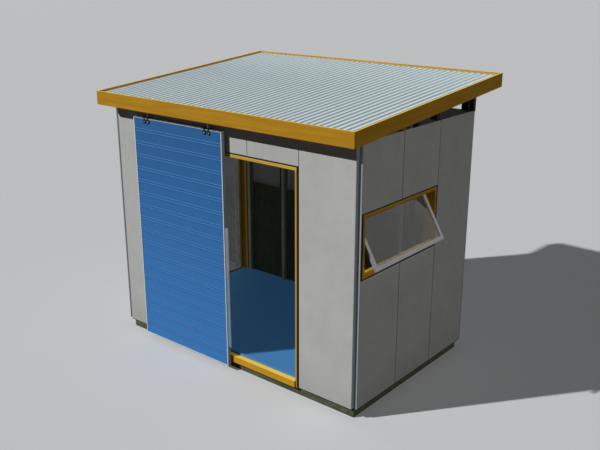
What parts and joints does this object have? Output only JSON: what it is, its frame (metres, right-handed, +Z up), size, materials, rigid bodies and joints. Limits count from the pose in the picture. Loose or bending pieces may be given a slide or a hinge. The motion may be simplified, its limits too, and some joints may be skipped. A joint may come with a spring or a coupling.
{
  "type": "workshop shed",
  "caption": "Small timber-framed workshop shed with a ribbed skillion roof, flat panel walls, a sliding door, a pivoting window and a glazed side panel.",
  "frame": {"origin": "on the ground, at the centre of the base frame, under its middle cross bearer", "axes": "+X along the door side to the right, +Y from the door side to the back, +Z up"},
  "size_m": [3.264, 2.445, 2.8253],
  "materials": {
    "treated_timber": "rough sawn, green treated",
    "pine": "planed",
    "dark_timber": "planed, dark stained",
    "ochre_timber": "painted ochre, satin",
    "floor_paint": "painted blue, satin",
    "lining": "dark stained board",
    "wall_panel": "pale grey cement board, matt",
    "joint_strip": "matt",
    "flashing": "satin",
    "roof_metal": "pre-painted corrugated steel",
    "sash_paint": "painted off-white, satin",
    "glass": "clear",
    "pivot_metal": "brushed",
    "door_blue": "painted blue, satin",
    "door_trim": "satin",
    "strip_clear": "clear frosted plastic",
    "black_steel": "black, satin",
    "track_steel": "dark grey",
    "wheel_steel": "brushed",
    "stop_rubber": "matt"
  },
  "bodies": {
    "shed": {"base_bearers": "treated_timber", "cross_bearers": "treated_timber", "floor_joists": "pine", "floor_sheet": "floor_paint", "bottom_plates": "dark_timber", "wall_studs": "dark_timber", "opening_headers": "dark_timber", "top_plates": "dark_timber", "wall_battens": "dark_timber", "front_panels_left": "wall_panel", "front_panel_right": "wall_panel", "transom_panels": "wall_panel", "back_panels": "wall_panel", "right_panels_below_window": "wall_panel", "right_panels_above_window": "wall_panel", "right_rear_panel": "wall_panel", "left_panels": "wall_panel", "left_panel_over_glazing": "wall_panel", "joint_strips": "joint_strip", "corner_flashings": "flashing", "back_lining": "lining", "door_jambs": "ochre_timber", "door_head": "ochre_timber", "door_sill": "ochre_timber", "window_jambs": "ochre_timber", "window_rails": "ochre_timber", "sash_stiles": "sash_paint", "sash_rails": "sash_paint", "sash_glass": "glass", "sash_pivots": "pivot_metal", "glazing_jambs": "ochre_timber", "glazing_rails": "ochre_timber", "glazing_glass": "glass", "rafters": "dark_timber", "purlins": "dark_timber", "roof_sheet": "roof_metal", "front_fascia": "ochre_timber", "back_fascia": "ochre_timber", "barge_boards": "ochre_timber", "track_packer": "dark_timber", "door_track": "track_steel", "track_stops": "stop_rubber"},
    "door": {"door_boards": "door_blue", "door_side_trims": "door_trim", "door_end_trims": "door_trim", "door_stiles": "pine", "door_rails": "pine", "door_edge_strip": "strip_clear", "door_hangers": "black_steel", "door_rollers": "wheel_steel", "hanger_washers": "black_steel"}
  },
  "joints": [
    {"name": "door_slide", "type": "slide", "parent": "shed", "child": "door", "axis": [1, 0, 0], "range_m": [-0.31, 0.87]}
  ]
}
